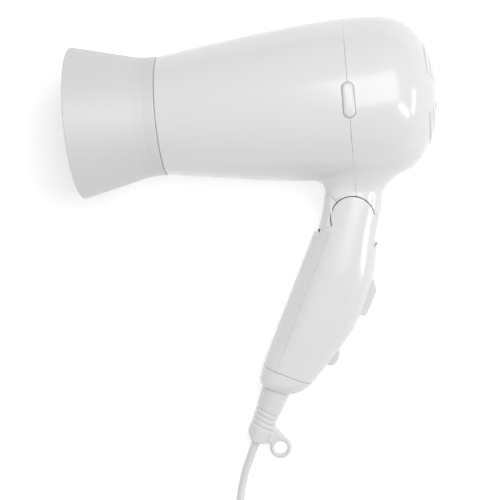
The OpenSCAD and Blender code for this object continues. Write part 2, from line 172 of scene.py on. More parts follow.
def crossed_edges(f, value, lo, step):
    """Each crossed grid edge's point, its four cells, and whether its quad is turned over."""
    n = np.array(value.shape)
    inside = value < 0
    one = np.eye(3, dtype=int)
    points, cells, flips = [], [], []
    for k in range(3):
        a, b = [slice(None)] * 3, [slice(None)] * 3
        a[k], b[k] = slice(0, -1), slice(1, None)
        at = np.argwhere(inside[tuple(a)] != inside[tuple(b)])
        u, v = (k + 1) % 3, (k + 2) % 3
        at = at[(at[:, u] > 0) & (at[:, v] > 0) & (at[:, u] < n[u] - 1) & (at[:, v] < n[v] - 1)]
        if not len(at):
            continue
        ends = value[tuple(at.T)], value[tuple((at + one[k]).T)]
        points.append(crossing(f, lo + step * at, k, step, *ends))
        flips.append(~inside[tuple(at.T)])
        around = [at - one[u] - one[v], at - one[v], at, at - one[u]]
        cells.append(np.stack([c @ [(n[1] - 1) * (n[2] - 1), n[2] - 1, 1] for c in around], 1))
    return np.concatenate(points), np.concatenate(cells), np.concatenate(flips)


def cell_vertices(f, points, normal, owner, centre, step):
    """The vertex of each cell: where the planes at its crossings meet, or nearly so."""
    count = np.bincount(owner, minlength=len(centre)).astype(float)
    rep_n = np.repeat(normal, 4, 0)
    local = np.repeat(points, 4, 0) - centre[owner]
    along = (rep_n * local).sum(1)

    def gather(w):
        return np.bincount(owner, weights=w, minlength=len(centre))

    mass = np.stack([gather(local[:, k]) for k in range(3)], 1) / count[:, None]
    mean_n = np.stack([gather(rep_n[:, k]) for k in range(3)], 1) / count[:, None]
    ata, atb = np.empty((len(centre), 3, 3)), np.empty((len(centre), 3))
    for i in range(3):
        atb[:, i] = gather(rep_n[:, i] * along)
        for j in range(i, 3):
            ata[:, i, j] = ata[:, j, i] = gather(rep_n[:, i] * rep_n[:, j])
    weight = 0.02 * count
    ata += weight[:, None, None] * np.eye(3)
    atb += weight[:, None] * mass
    local = np.linalg.solve(ata, atb[:, :, None])[:, :, 0]
    verts = centre + np.clip(local, -0.5 * step, 0.5 * step)
    smooth = np.linalg.norm(mean_n, axis=1) > 0.985
    some = verts[smooth]
    for _ in range(2):
        some = some - f(some)[:, None] * gradient(f, some)
    verts[smooth] = some
    return verts


def corner_normals(f, verts, quads):
    """One normal per corner: the surface's own, taken inside the quad where an edge is hard."""
    a, b, c, d = (verts[quads[:, k]] for k in range(4))
    flat = np.cross(c - a, d - b)
    flat /= np.maximum(np.linalg.norm(flat, axis=1, keepdims=True), 1e-12)
    loops = gradient(f, verts)[quads]
    turned = (loops * flat[:, None, :]).sum(2) < math.cos(math.radians(15))
    if turned.any():
        face, which = np.nonzero(turned)
        middle = (a + b + c + d)[face] / 4
        q = verts[quads[face, which]]
        q = q + 0.45 * (middle - q)
        q = q - f(q)[:, None] * gradient(f, q)
        g = gradient(f, q)
        ok = (g * flat[face]).sum(1) > math.cos(math.radians(50))
        loops[face, which] = np.where(ok[:, None], g, flat[face])
    return loops.reshape(-1, 3)


def contour(f, lo, hi, step):
    """Dual contouring of the surface f = 0 in a box: vertices, quads and one normal per corner."""
    lo, hi = np.asarray(lo, float), np.asarray(hi, float)
    n = np.ceil((hi - lo) / step).astype(int) + 1
    points, cells, flip = crossed_edges(f, sample(f, lo, n, step), lo, step)
    ids, index = np.unique(cells.ravel(), return_inverse=True)
    centre = lo + step * (np.stack(np.unravel_index(ids, n - 1), 1) + 0.5)
    verts = cell_vertices(f, points, gradient(f, points), index.ravel(), centre, step)
    index = index.reshape(cells.shape)
    quads = np.where(flip[:, None], index[:, ::-1], index)
    return verts, quads, corner_normals(f, verts, quads)


def solid(name, f, lo, hi, step, place, body, stands_for):
    """A piece from a distance function, drawn in one of the frames."""
    verts, quads, normals = contour(f, lo, hi, step)
    origin = place([0, 0, 0])
    turn = np.array([place(np.eye(3)[k]) - origin for k in range(3)]) / MM
    mesh = make_mesh(name, place(verts), quads, normals @ turn)
    return link(name, mesh, body, stands_for)


# ---- Distance functions ----


def ease(a, b, k):
    k = np.clip(k, 0, 1)
    return a + (b - a) * k * k * (3 - 2 * k)


def round_union(a, b, k):
    return np.maximum(k, np.minimum(a, b)) - np.hypot(np.maximum(k - a, 0), np.maximum(k - b, 0))


def round_common(a, b, k):
    return -round_union(-a, -b, k)


def box2(u, v, hu, hv, r=0.0):
    qu, qv = np.abs(u) - hu + r, np.abs(v) - hv + r
    return np.hypot(np.maximum(qu, 0), np.maximum(qv, 0)) + np.minimum(np.maximum(qu, qv), 0) - r


def polygon2(u, v, points):
    """Signed distance to a closed polygon."""
    best = np.full(u.shape, 1e9)
    inside = np.zeros(u.shape, bool)
    for (ax, ay), (bx, by) in zip(points, points[1:] + points[:1]):
        ex, ey = bx - ax, by - ay
        wx, wy = u - ax, v - ay
        k = np.clip((wx * ex + wy * ey) / (ex * ex + ey * ey), 0, 1)
        best = np.minimum(best, (wx - ex * k) ** 2 + (wy - ey * k) ** 2)
        crosses = (ay > v) != (by > v)
        inside ^= crosses & (u < ex * (v - ay) / (ey if ey else 1e-12) + ax)
    return np.where(inside, -1, 1) * np.sqrt(best)


def squared_norm(u, v, a, b, n):
    """Distance to a squared ellipse of half sizes a and b, to first order."""
    qu, qv = np.abs(u) / a + 1e-9, np.abs(v) / b + 1e-9
    e = (qu ** n + qv ** n) ** (1 / n)
    slope = e ** (1 - n) * np.hypot(qu ** (n - 1) / a, qv ** (n - 1) / b)
    return (e - 1) / np.maximum(slope, 1e-6)


def tube2(x, r, x0, x1, r0, r1, edge=0.0):
    """A ring of square section about the barrel's axis."""
    return box2(x - (x0 + x1) / 2, r - (r0 + r1) / 2, (x1 - x0) / 2, (r1 - r0) / 2, edge)


def smooth_table(points, sigma, lo, hi):
    step = 0.25
    reach = int(3 * sigma / step)
    xs = np.arange(lo, hi + step, step)
    ys = np.interp(xs, *zip(*points))
    k = np.exp(-0.5 * (np.arange(-reach, reach + 1) * step / sigma) ** 2)
    return xs, np.convolve(np.pad(ys, reach, mode="edge"), k / k.sum(), "valid")


# ---- Casings ----

BARREL_R, FRONT_LEN, REAR_LEN, WALL = 37.0, 86.5, 39.5, 2.0
NARROWING, FRONT_POWER = 9.8, 1.43
SPLIT_X, SEAM = -0.5, 0.045
BOSS_AT = 32.0
SLOT_FIRST, SLOT_PITCH, SLOT_RINGS, SLOT_HALF_W = 9.5, 4.5, 4, 0.75
CLIP_HALF_LEN, CLIP_R = 5.1, 2.7
NECK_LEAN = math.radians(13.6)
NECK_SHIFT, NECK_HALF_X, NECK_HALF_Z = -0.6, 13.65, 13.4
CHEEK_R, CHEEK_INNER, CHEEK_GAP = 9.8, 8.8, 0.42
FOLD_TOP, FOLD_BOTTOM = math.radians(48.3), math.radians(-48)
FOLD_FADE, FOLD_DEPTH = math.radians(50), 5.5


def barrel(x, r):
    """Distance to the barrel's outside, to first order."""
    ahead = np.maximum(-x, 0) / FRONT_LEN
    slope = NARROWING * FRONT_POWER / FRONT_LEN * ahead ** (FRONT_POWER - 1)
    front = (r - BARREL_R + NARROWING * ahead ** FRONT_POWER) / np.sqrt(1 + slope * slope)
    behind, q = np.maximum(x, 0) / REAR_LEN, r / BARREL_R
    e = np.sqrt(behind ** 4 + q * q) + 1e-9
    rear = (e - 1) / np.maximum(np.hypot(2 * behind ** 3 / REAR_LEN, q / BARREL_R) / e, 1e-6)
    return np.where(x < 0, front, rear)


def neck(p):
    qx, qy = p[:, 0] - PIVOT[0], p[:, 1] - PIVOT[1]
    u = qx * math.cos(NECK_LEAN) - qy * math.sin(NECK_LEAN) - NECK_SHIFT
    v = qx * math.sin(NECK_LEAN) + qy * math.cos(NECK_LEAN)
    half = NECK_HALF_X + np.where(u > 0, -0.066 * v, 0.06 * np.maximum(-v, 0))
    side = squared_norm(u, p[:, 2], half, NECK_HALF_Z, 2.8)
    return u, v, side


def fold_edge(rho, z):
    """The neck's section where the handle's front wall passes it, as it folds."""
    z = np.abs(z)
    return np.maximum.reduce([(rho - 9.8 + 3.2 * (z - 11.3)) / 3.353,
                              (1.1 * (rho - 13) + 2 * (z - 10.3)) / 2.283,
                              (2 * (rho - 15) + 1.5 * (z - 9.2)) / 2.5, rho - 16.5])


def neck_cuts(p):
    """What the hinge takes from the neck. The handle's path fades out above its highest place."""
    qx, qy, z = p[:, 0] - PIVOT[0], p[:, 1] - PIVOT[1], p[:, 2]
    rho = np.hypot(qx, qy)
    recess = np.maximum(rho - CHEEK_R - CHEEK_GAP, CHEEK_INNER - 0.2 - np.abs(z))
    above = np.arctan2(qy, -qx) - FOLD_TOP
    fade = ease(0, FOLD_DEPTH, above / FOLD_FADE)
    fade += 0.66 * (rho - CHEEK_R) * np.clip(above / 0.08, 0, 1)
    reach = np.interp(above, np.radians([-1.3, 0]), [24, 17])
    path = np.maximum.reduce([CHEEK_R - rho, fade - fold_edge(rho, z), rho - reach,
                              (FOLD_BOTTOM - FOLD_TOP - above) * rho])
    s = -qx * math.sin(LEAN) - qy * math.cos(LEAN)
    t = qx * math.cos(LEAN) - qy * math.sin(LEAN)
    behind = polygon2(s, t, [(-5.2, 9), (-6.7, 14), (-6.7, 30), (60, 30), (60, 0), (0, 0)])
    return np.minimum.reduce([recess, path, behind])


def casing(p):
    """Both casings with the neck, hollow, before they are parted."""
    r = np.hypot(p[:, 1], p[:, 2])
    body = barrel(p[:, 0], r)
    u, v, side = neck(p)
    stem = np.maximum(np.maximum(side, v - 36), -7.6 - v)
    outside = round_union(body, stem, np.interp(u, [-13, 13], [5.6, 8.5]))
    inside = np.minimum(body + WALL, np.maximum(side + WALL, v - 30))
    return np.maximum.reduce([outside, -inside, -neck_cuts(p)])


def bosses(p, x0, x1, r_out):
    """Four screw posts inside the barrel, between its sides and its top and bottom."""
    a = np.arctan2(p[:, 2], p[:, 1])
    r = np.hypot(p[:, 1], p[:, 2])
    a = np.abs(np.mod(a, math.pi / 2) - math.pi / 4)
    off = np.hypot(r * np.cos(a) - BOSS_AT, r * np.sin(a))
    return np.maximum.reduce([off - r_out, x0 - p[:, 0], p[:, 0] - x1])


def clip_outline(p, grow=0.0):
    return np.hypot(p[:, 0] - SPLIT_X, np.maximum(np.abs(p[:, 1]) - CLIP_HALF_LEN, 0)) - CLIP_R - grow


def clip_pocket(p):
    return np.maximum(clip_outline(p, 0.08), 30 - np.abs(p[:, 2]))


def front_casing(p):
    x, r = p[:, 0], np.hypot(p[:, 1], p[:, 2])
    shell = round_common(casing(p), x - SPLIT_X + SEAM, 0.25)
    shell = round_common(shell, -FRONT_LEN - x, 0.5)
    plate = tube2(x, r, -FRONT_LEN, -FRONT_LEN + 2.4, 23.4, 26.6)
    spigot = tube2(x, r, -FRONT_LEN - 9, -FRONT_LEN + 1, 22.4, 24.4, 0.4)
    bead = np.hypot(x + FRONT_LEN + 6.5, r - 24.3) - 0.6
    made = np.minimum.reduce([shell, plate, spigot, bead, bosses(p, -14, SPLIT_X - SEAM, 3)])
    return np.maximum.reduce([made, -bosses(p, -13, 1, 1.3), -clip_pocket(p)])


def intake_slots(p):
    """Curved slots with round ends round the dome, in four groups between its spokes."""
    a = np.arctan2(p[:, 2], p[:, 1])
    r = np.hypot(p[:, 1], p[:, 2])
    folded = np.abs(np.mod(a, math.pi) - math.pi / 2)
    half = math.radians(28)
    past = np.maximum(np.abs(folded - math.radians(50)) - half, 0) * r
    half_pitch = SLOT_PITCH / 2
    rings = np.abs(np.mod(r - SLOT_FIRST + half_pitch, SLOT_PITCH) - half_pitch)
    first, last = SLOT_FIRST - half_pitch, SLOT_FIRST + SLOT_PITCH * SLOT_RINGS - half_pitch
    rings = np.where((r > first) & (r < last), rings, SLOT_PITCH)
    return np.maximum(np.hypot(past, rings) - SLOT_HALF_W, 20 - p[:, 0])


def rear_casing(p):
    shell = round_common(casing(p), SPLIT_X + SEAM - p[:, 0], 0.25)
    shell = round_common(shell, -intake_slots(p), 0.35)
    made = np.minimum(shell, bosses(p, SPLIT_X + SEAM, 10, 3))
    return np.maximum.reduce([made, -bosses(p, -2, 20, 1.5), -clip_pocket(p)])


def side_clips(p):
    body = barrel(p[:, 0], np.hypot(p[:, 1], p[:, 2]))
    return np.maximum(round_common(clip_outline(p), body - 0.8, 1.5), -WALL - body)


# ---- Handle ----

REAR_EDGE = smooth_table([(-12, 11.4), (-1, 13.3), (3, 14.2), (10.5, 16.2), (15.7, 17.5),
    (22, 19.2), (30, 20.2), (38.5, 20.4), (49, 19.6), (57, 17.6), (70, 14.1), (80, 10.6),
    (86, 8.6), (95, 5.4)], 2.2, -16, 98)
FRONT_EDGE = smooth_table([(-16, 14.1), (80, 14.1), (90, 12.6)], 2.2, -16, 98)
HALF_THICK = smooth_table([(-16, 14), (26, 14), (50, 13.3), (82, 11.5), (90, 10.8)], 3, -16, 98)
PARTING, CAP_SEAM, CAP_END, RELIEF_T = -7.4, 79.5, 89.0, -3.9


def grip(p):
    """Distance to the handle's outside, to first order."""
    s, t, w = p.T
    rear, front = np.interp(s, *REAR_EDGE), np.interp(s, *FRONT_EDGE)
    half = np.interp(s, *HALF_THICK)
    body = squared_norm(t - (rear - front) / 2, w, (rear + front) / 2, half, 2.7)
    at_crease = half * (1 - np.abs((PARTING - (rear - front) / 2) / ((rear + front) / 2)) ** 2.7
                        ) ** (1 / 2.7)
    facet = 0.68 * (PARTING - t) + 0.733 * (np.abs(w) - at_crease)
    facet = facet - ease(2.5, 0, (s - 3) / 14) - ease(0, 2.5, (s - 62) / 18)
    body = round_common(body, facet, 2.0)
    end = s - CAP_END + 0.1 * np.maximum(t, 0)
    return round_common(body, end, np.interp(t, [-10, 6], [3.2, 8.0]))


SHOULDER = [(-40, -30), (13.6, -30), (13.6, -14.1), (9.6, -11.4), (7, -8), (0, 0), (-4.9, 9),
            (-6.4, 14), (-6.4, 30), (-40, 30)]


def grip_shell(p):
    s, t, w = p.T
    out = grip(p)
    rho = np.hypot(s, t)
    wall = np.maximum(out, -WALL - out)
    lower = round_common(wall, -polygon2(s, t, SHOULDER), 0.3)
    lower = np.maximum(lower, CHEEK_R - 1 - rho)
    cheek = round_common(out, rho - CHEEK_R, 0.35)
    block = np.maximum.reduce([out, -polygon2(s, t, SHOULDER), s - 19, t + 4])
    made = np.minimum.reduce([lower, cheek, block])
    hollow = np.maximum(rho - 16.7, np.abs(w) - CHEEK_INNER)
    off = np.abs(np.arctan2(t, s) + math.radians(12)) - math.radians(50)
    sector = rho * np.sin(np.clip(off, -math.pi / 2, math.pi / 2))
    sweep = np.maximum.reduce([fold_edge(rho, w) - 0.3, CHEEK_R - 0.1 - rho, sector])
    pin = np.maximum(rho - 3, np.abs(w) - 11.5)
    seam = s - CAP_SEAM + 0.1
    made = np.maximum.reduce([made, -hollow, -sweep, -pin])
    return round_common(made, seam, 0.3)


def handle_front_shell(p):
    keep = np.maximum(p[:, 1] - PARTING + 0.02, 10 - p[:, 0])
    return np.maximum(grip_shell(p), keep)


def handle_rear_shell(p):
    s, t, w = p.T
    split = np.maximum(t - PARTING - 0.02, 9.97 - s)
    slot = np.maximum(box2(s - 36.2, w, 13.3, 4.2, 0.5), 10 - t)
    hole = np.maximum(box2(s - 64.5, w, 4.8, 3.7, 1.2), 8 - t)
    made = np.maximum(grip_shell(p), -split)
    return round_common(made, -np.minimum(slot, hole), 0.4)


def end_cap(p):
    s, t, w = p.T
    out = grip(p)
    shell = np.maximum(out, -round_common(out + WALL, s - 84, 1))
    bore = np.hypot(t - RELIEF_T, w) - 5
    return np.maximum(round_common(shell, CAP_SEAM + 0.1 - s, 0.3), -bore)


def switch_knob(p):
    s, t, w = p.T
    outline = polygon2(s, t, [(23.4, 17.05), (40.8, 17.05), (41.3, 20.6), (41.1, 21.9), (40, 22.3),
                              (34.3, 22.9), (28.4, 22.7), (27, 22), (24.4, 20.1)])
    ribs = 0.22 * (0.5 + 0.5 * np.cos((s - 34.3) * math.pi / 0.85)) * (np.abs(s - 34.3) < 4.3)
    outline = outline + np.where(t > 21, ribs, 0)
    return round_common(outline, np.abs(w) - 3.9, 0.7)


def cool_button(p):
    s, t, w = p.T
    outline = polygon2(s, t, [(60.1, 12.3), (68.9, 12.3), (68.9, 15.2), (67.9, 16.9), (66.3, 17.6),
                              (64.4, 17.9), (62.4, 17.7), (60.9, 17), (60.2, 16)])
    stem = np.maximum(np.hypot(s - 64.5, w) - 1.2, np.abs(t - 11) - 2)
    return np.minimum(round_common(outline, np.abs(w) - 3.35, 0.8), stem)


def strain_relief(p):
    s, t, w = p.T
    r = np.hypot(t - RELIEF_T, w)
    radius = np.interp(s, [82, 84, 84.1, 87, 87.1, 96, 105, 120],
                       [6.5, 6.5, 4.9, 4.9, 6.7, 6.15, 5.6, 5.6])
    body = np.maximum(r - radius, 81 - s)
    body = round_common(body, (s - 116.0 + 0.2 * (t + 5.6)) / 1.02, 0.6)
    body = round_common(body, 0.73 * (s - 113.2) - 0.683 * (t + 8.7), 0.6)
    for k in range(4):
        at = s - 100.4 - 2.5 * k - 0.12 * (t - RELIEF_T)
        groove = box2(at, r - 7.2, 0.6, 2.15, 0.5)
        body = round_common(body, -groove, 0.3)
    arm = polygon2(s, t, [(105, -3.9), (105.5, 1.2), (110.3, 10.6), (113.6, 4), (114.5, 2.6),
                          (115.2, -3.9)])
    ring = np.hypot(s - 114.4, t - 7.9) - 5.1
    flat = round_union(arm, ring, 1.0)
    plate = round_common(flat, np.abs(w) - 2, 1.3)
    made = round_union(body, plate, 0.8)
    hole = np.hypot(s - 114.4, t - 7.9) - 3.2
    made = round_common(made, -hole, 1.0)
    channel = np.hypot(np.maximum(np.abs(w) - 1, 0), t - RELIEF_T) - 1.75
    return np.maximum(made, -channel)


# ---- Cord ----

LEAD_D, LEAD_T = 5.4, 3.4
LEAD_ROUTE = [(-13, -90.6, 6.6), (-14.8, -94.2, 5.95), (-16.4, -97.7, 5.3), (-18, -101.2, 4.7),
    (-19.4, -104.7, 4.15), (-20.6, -108.2, 3.7), (-21.6, -111.8, 3.4), (-22.5, -115.6, 3.2),
    (-23.2, -119.4, 3.15), (-23.7, -123.2, 3.15), (-24.1, -127, 3.15), (-24.3, -130.5, 3.15),
    (-24.4, -134, 3.15), (-24.5, -137.5, 3.15), (-24.5, -141, 3.15)]
COIL_AT = np.array([10.6, -160.0])
COIL_R = [35.1, 31.7, 28.3, 24.9]
LAYER_Z = [3.15, 8.55]
TAIL_END_X = 34.0


def coil_route():
    """Four turns inward on the surface, up a layer, three turns outward and a quarter, then out."""
    points = []
    for turn, share in ((k // 48, k % 48 / 48) for k in range(1, int(7.25 * 48) + 1)):
        if turn < 4:
            r = ease(COIL_R[turn], COIL_R[min(turn + 1, 3)], (share - 0.8) / 0.2)
            z = ease(*LAYER_Z, (share - 0.6) / 0.2) if turn == 3 else LAYER_Z[0]
        else:
            r = ease(COIL_R[7 - turn], COIL_R[max(6 - turn, 0)], (share - 0.4) / 0.2)
            z = LAYER_Z[1]
        a = math.pi + 2 * math.pi * share
        points.append((COIL_AT[0] + r * math.cos(a), COIL_AT[1] + r * math.sin(a), z))
    return points


def spaced(points, gap):
    """A smooth curve through the points, at even spaces."""
    p = np.asarray(points, float)
    p = np.vstack([2 * p[0] - p[1], p, 2 * p[-1] - p[-2]])
    fine = []
    for a, b, c, d in zip(p, p[1:], p[2:], p[3:]):
        for k in np.linspace(0, 1, 8, endpoint=False):
            fine.append(0.5 * (2 * b + (c - a) * k + (2 * a - 5 * b + 4 * c - d) * k * k
                               + (3 * b - a - 3 * c + d) * k ** 3))
    fine = np.array(fine + [p[-2]])
    run = np.concatenate([[0], np.cumsum(np.linalg.norm(np.diff(fine, axis=0), axis=1))])
    at = np.linspace(0, run[-1], int(run[-1] / gap) + 1)
    return np.stack([np.interp(at, run, fine[:, k]) for k in range(3)], 1)


def sweep(path, section, tilt):
    """A closed section of [side, up] points carried along a path, kept upright but for the tilt."""
    path = np.asarray(path, float)
    ahead = np.gradient(path, axis=0)
    ahead /= np.linalg.norm(ahead, axis=1, keepdims=True)
    side = np.cross(ahead, [0, 0, 1.0])
    side /= np.linalg.norm(side, axis=1, keepdims=True)
    up = np.cross(side, ahead)
    c, s = np.cos(tilt)[:, None], np.sin(tilt)[:, None]
    side, up = side * c + up * s, up * c - side * s
    section = np.asarray(section, float)
    verts = (path[:, None, :] + side[:, None, :] * section[None, :, :1]
             + up[:, None, :] * section[None, :, 1:]).reshape(-1, 3)
    m, n = len(path), len(section)
    ends = []
    for base, back in ((0, True), ((m - 1) * n, False)):
        for a in range(n // 2 - 1):
            q = [base + a, base + a + 1, base + n - 2 - a, base + n - 1 - a]
            ends.append(q[::-1] if back else q)
    return verts, np.vstack([rows_to_quads(m, n), ends])


def twin_section(n=14):
    """Two round cores side by side, with a groove between them."""
    r, off = LEAD_T / 2, (LEAD_D - LEAD_T) / 2
    limit = math.acos(0.72)
    top = [(r * math.sin(a), off + r * math.cos(a)) for a in
           np.linspace(math.pi - limit, -math.pi + limit, n)]
    bottom = [(-x, -y) for x, y in top]
    return top + bottom


lead = spaced(LEAD_ROUTE, 1.5)
coil = spaced([LEAD_ROUTE[-1], *[(-24.5, y, 3.15) for y in (-145, -149, -153, -157)], *coil_route(),
    *[(x, COIL_AT[1] - COIL_R[0], LAYER_Z[1]) for x in (14, 18, 22, 26, 30, TAIL_END_X)]], 2.2)
route = np.vstack([lead, coil[1:]])
run = np.concatenate([[0], np.cumsum(np.linalg.norm(np.diff(route, axis=0), axis=1))])
lead_tilt = math.radians(15) * np.clip(1 - run / 75, 0, 1)
verts, quads = sweep(route, twin_section(), lead_tilt)
cord = link("cord", make_mesh("cord", row_mm(verts), quads, sharp=60), "handle",
            ["cord_lead", "cord_coil"])


def rounded_plate(p, outline, half, r):
    return round_common(polygon2(p[:, 0], p[:, 1], outline), np.abs(p[:, 2]) - half, r)


PLUG_REAR, PLUG_LEN, PLUG_HALF_W, PLUG_HALF_T = 42.0, 33.0, 12.9, 8.5
PLUG_Y = COIL_AT[1] - COIL_R[0]


def plug_body(p):
    x, y, z = p[:, 0], p[:, 1] - PLUG_Y, p[:, 2] - PLUG_HALF_T
    q = np.stack([x, y, z], 1)
    half = [(PLUG_REAR, 5.5), (PLUG_REAR + 8, 7.5), (PLUG_REAR + 22, PLUG_HALF_W),
            (PLUG_REAR + PLUG_LEN, PLUG_HALF_W)]
    outline = [(along, -across) for along, across in half] + half[::-1]
    body = rounded_plate(q, outline, PLUG_HALF_T - 0.1, 2.0)
    grip_dip = 0.6 * np.exp(-((x - PLUG_REAR - 15) / 4.5) ** 2)
    r = np.hypot(y, p[:, 2] - LAYER_Z[1])
    tail = np.maximum(r - np.interp(x, [TAIL_END_X, TAIL_END_X + 9], [3.7, 5.0]), TAIL_END_X - x)
    tail = np.maximum(tail, x - TAIL_END_X - 9)
    for k in range(3):
        groove = box2(x - TAIL_END_X - 1.9 - 2.2 * k, r - 6, 0.5, 2, 0.3)
        tail = np.maximum(tail, -groove)
    return round_union(body + grip_dip, tail, 1.0)


def lathe(profile, n=128):
    """A turned shape about x from [x, r] points, ends on the axis left as small rings."""
    a = np.arange(n) * 2 * math.pi / n
    verts = np.array([[x, r * math.cos(b), r * math.sin(b)] for x, r in profile for b in a])
    return verts, rows_to_quads(len(profile), n)


def filleted(points, radius, steps=5, closed=True):
    """A polygon of [x, y] points with its corners rounded."""
    made = []
    pts = [np.array(p[:2], float) for p in points]
    n = len(pts)
    for i in range(n):
        if not closed and i in (0, n - 1):
            made.append(pts[i])
            continue
        a, b, c = pts[i - 1], pts[i], pts[(i + 1) % n]
        u, v = (a - b) / np.linalg.norm(a - b), (c - b) / np.linalg.norm(c - b)
        half = math.acos(max(-1, min(1, float(u @ v)))) / 2
        r = points[i][2] if len(points[i]) > 2 else radius
        back = min(r / math.tan(half), 0.45 * np.linalg.norm(a - b), 0.45 * np.linalg.norm(c - b))
        for k in np.linspace(0, 1, steps):
            made.append((1 - k) ** 2 * (b + u * back) + 2 * k * (1 - k) * b + k * k * (b + v * back))
    return made


pin_profile = filleted([(0, 0.01), (0, 2), (19, 2, 0.9), (19, 0.01)], 0.01, closed=False)
sleeve_profile = filleted([(0, 0.01), (0, 2.06), (9.5, 2.06, 0.1), (9.5, 1.9)], 0.01, closed=False)


pin_at = [(PLUG_REAR + PLUG_LEN, PLUG_Y + side * 9.3, PLUG_HALF_T) for side in (-1, 1)]


def both_pins(name, profile, stands_for=()):
    turned, quads = lathe(profile, 32)
    verts, quads = joined([(turned + at, quads) for at in pin_at])
    return link(name, make_mesh(name, row_mm(verts), quads), "handle", stands_for)


plug_pins = both_pins("plug_pins_turned", pin_profile, ["plug_pins"])
pin_sleeves = both_pins("plug_pin_sleeves", sleeve_profile)
plug = solid("plug_moulded", plug_body, (32.5, PLUG_Y - 14.5, -0.9), (76.5, PLUG_Y + 14.5, 18),
             0.5, row_mm, "handle", ["plug_body"])


def tie_band():
    """A flat band round the coil: two closed outlines, joined into a ring of square section."""
    turn = math.radians(40)
    radial = np.array([math.cos(turn), math.sin(turn), 0])
    tangent = np.array([-math.sin(turn), math.cos(turn), 0])
    centre = np.array([*COIL_AT, 0]) + 30 * radial
    outer = filleted([(-7.25, 0.06), (7.25, 0.06), (7.25, 11.6), (-7.25, 11.6)], 2.6, 6)
    inner = filleted([(-6.85, 0.42), (6.85, 0.42), (6.85, 11.27), (-6.85, 11.27)], 2.3, 6)
    loop = [(outer, -2.1), (outer, -2.5), (inner, -2.5), (inner, -2.1), (inner, 2.1),
            (inner, 2.5), (outer, 2.5), (outer, 2.1), (outer, -2.1)]
    verts = [centre + x * radial + along * tangent + np.array([0, 0, y])
             for outline, along in loop[:-1] for x, y in outline]
    n = len(outer)
    quads = rows_to_quads(len(loop), n) % len(verts)
    return np.array(verts), quads[:, ::-1]


verts, quads = tie_band()
cord_tie = link("cord_tie_band", make_mesh("cord_tie_band", row_mm(verts), quads), "handle",
                ["cord_tie"])

# ---- The dryer's pieces ----

FINE = 0.42
COARSE = 0.7
MOULDED = {
    "front_casing": (front_casing, (-98, -62, -39.2), (1.2, 39, 39.2), COARSE, "barrel"),
    "rear_casing": (rear_casing, (-2, -62, -39.2), (41.5, 39, 39.2), COARSE, "barrel"),
    "side_clips": (side_clips, (-4.2, -9.4, -39.6), (3.6, 9.4, 39.6), 0.4, "barrel"),
    "handle_rear": (handle_rear_shell, (-11.5, -15.5, -15.2), (80.6, 21.6, 15.2), FINE, "handle"),
    "handle_front": (handle_front_shell, (9, -15.5, -15.2), (80.6, -6.5, 15.2), FINE, "handle"),
    "end_cap": (end_cap, (78.6, -15.5, -13), (91.2, 12.5, 13), FINE, "handle"),
    "switch_knob": (switch_knob, (22.5, 16, -4.8), (42.2, 24, 4.8), 0.3, "switch"),
    "cool_button": (cool_button, (59.2, 8, -4.2), (69.8, 18.9, 4.2), 0.3, "button"),
    "strain_relief": (strain_relief, (80, -12, -8), (121, 14.6, 8), 0.4, "handle"),
}
made = {}
for name, (shape, lo, hi, step, body) in MOULDED.items():
    place = dryer_to_row if body == "barrel" else handle_to_row
    made[name] = solid(name + "_moulded", shape, lo, hi, step, place, body,
                       [shape.__name__])

NOZZLE_BACK, COLLAR_FRONT, MOUTH = -FRONT_LEN - 0.2, -FRONT_LEN - 8, -FRONT_LEN - 40
nozzle_profile = filleted([
    (NOZZLE_BACK, 24.5, 0.2), (NOZZLE_BACK, 27.4, 0.5), (-92, 27.4, 6), (-96.5, 28.0, 8),
    (-112, 31.8, 20), (MOUTH, 35.3, 0.7), (MOUTH, 33.7, 0.5), (-108, 29.1, 12),
    (-97.5, 26.3, 3), (COLLAR_FRONT - 3, 24.5, 1), (COLLAR_FRONT, 24.5, 0.2),
    (-93.6, 24.5, 0.05), (-93.6, 25.0, 0.05), (-92.4, 25.0, 0.05), (-92.4, 24.5, 0.05)], 0.3, 8)
verts, quads = lathe(nozzle_profile + nozzle_profile[:1], 160)
made["nozzle"] = link("nozzle_moulded", make_mesh("nozzle_moulded", dryer_to_row(verts),
                      quads, sharp=40), "nozzle", ["nozzle"])


def wound_ring(x, ring_r=16.5, coil_r=0.45, wire=0.14, windings=72, sides=5, steps=8):
    """A ring of finely wound resistance wire."""
    a = np.linspace(0, 2 * math.pi, windings * steps, endpoint=False)
    b = a * windings
    r = ring_r + coil_r * np.cos(b)
    path = np.stack([x + coil_r * np.sin(b), r * np.cos(a), r * np.sin(a)], 1)
    ahead = np.roll(path, -1, 0) - np.roll(path, 1, 0)
    ahead /= np.linalg.norm(ahead, axis=1, keepdims=True)
    out = path - np.stack([np.full_like(a, x), ring_r * np.cos(a), ring_r * np.sin(a)], 1)
    out /= np.linalg.norm(out, axis=1, keepdims=True)
    side = np.cross(ahead, out)
    turns = [out * math.cos(c) + side * math.sin(c) for c in
             np.arange(sides) * 2 * math.pi / sides]
    verts = np.stack([path + wire * t for t in turns], 1).reshape(-1, 3)
    return verts, rows_to_quads(len(path) + 1, sides) % len(verts)


verts, quads = joined([wound_ring(-82 + 5 * k) for k in range(10)])
made["element"] = link("heating_element_wound", make_mesh("heating_element_wound",
    dryer_to_row(verts), quads, sharp=80), "barrel", ["heating_coil"])

# ---- Materials ----


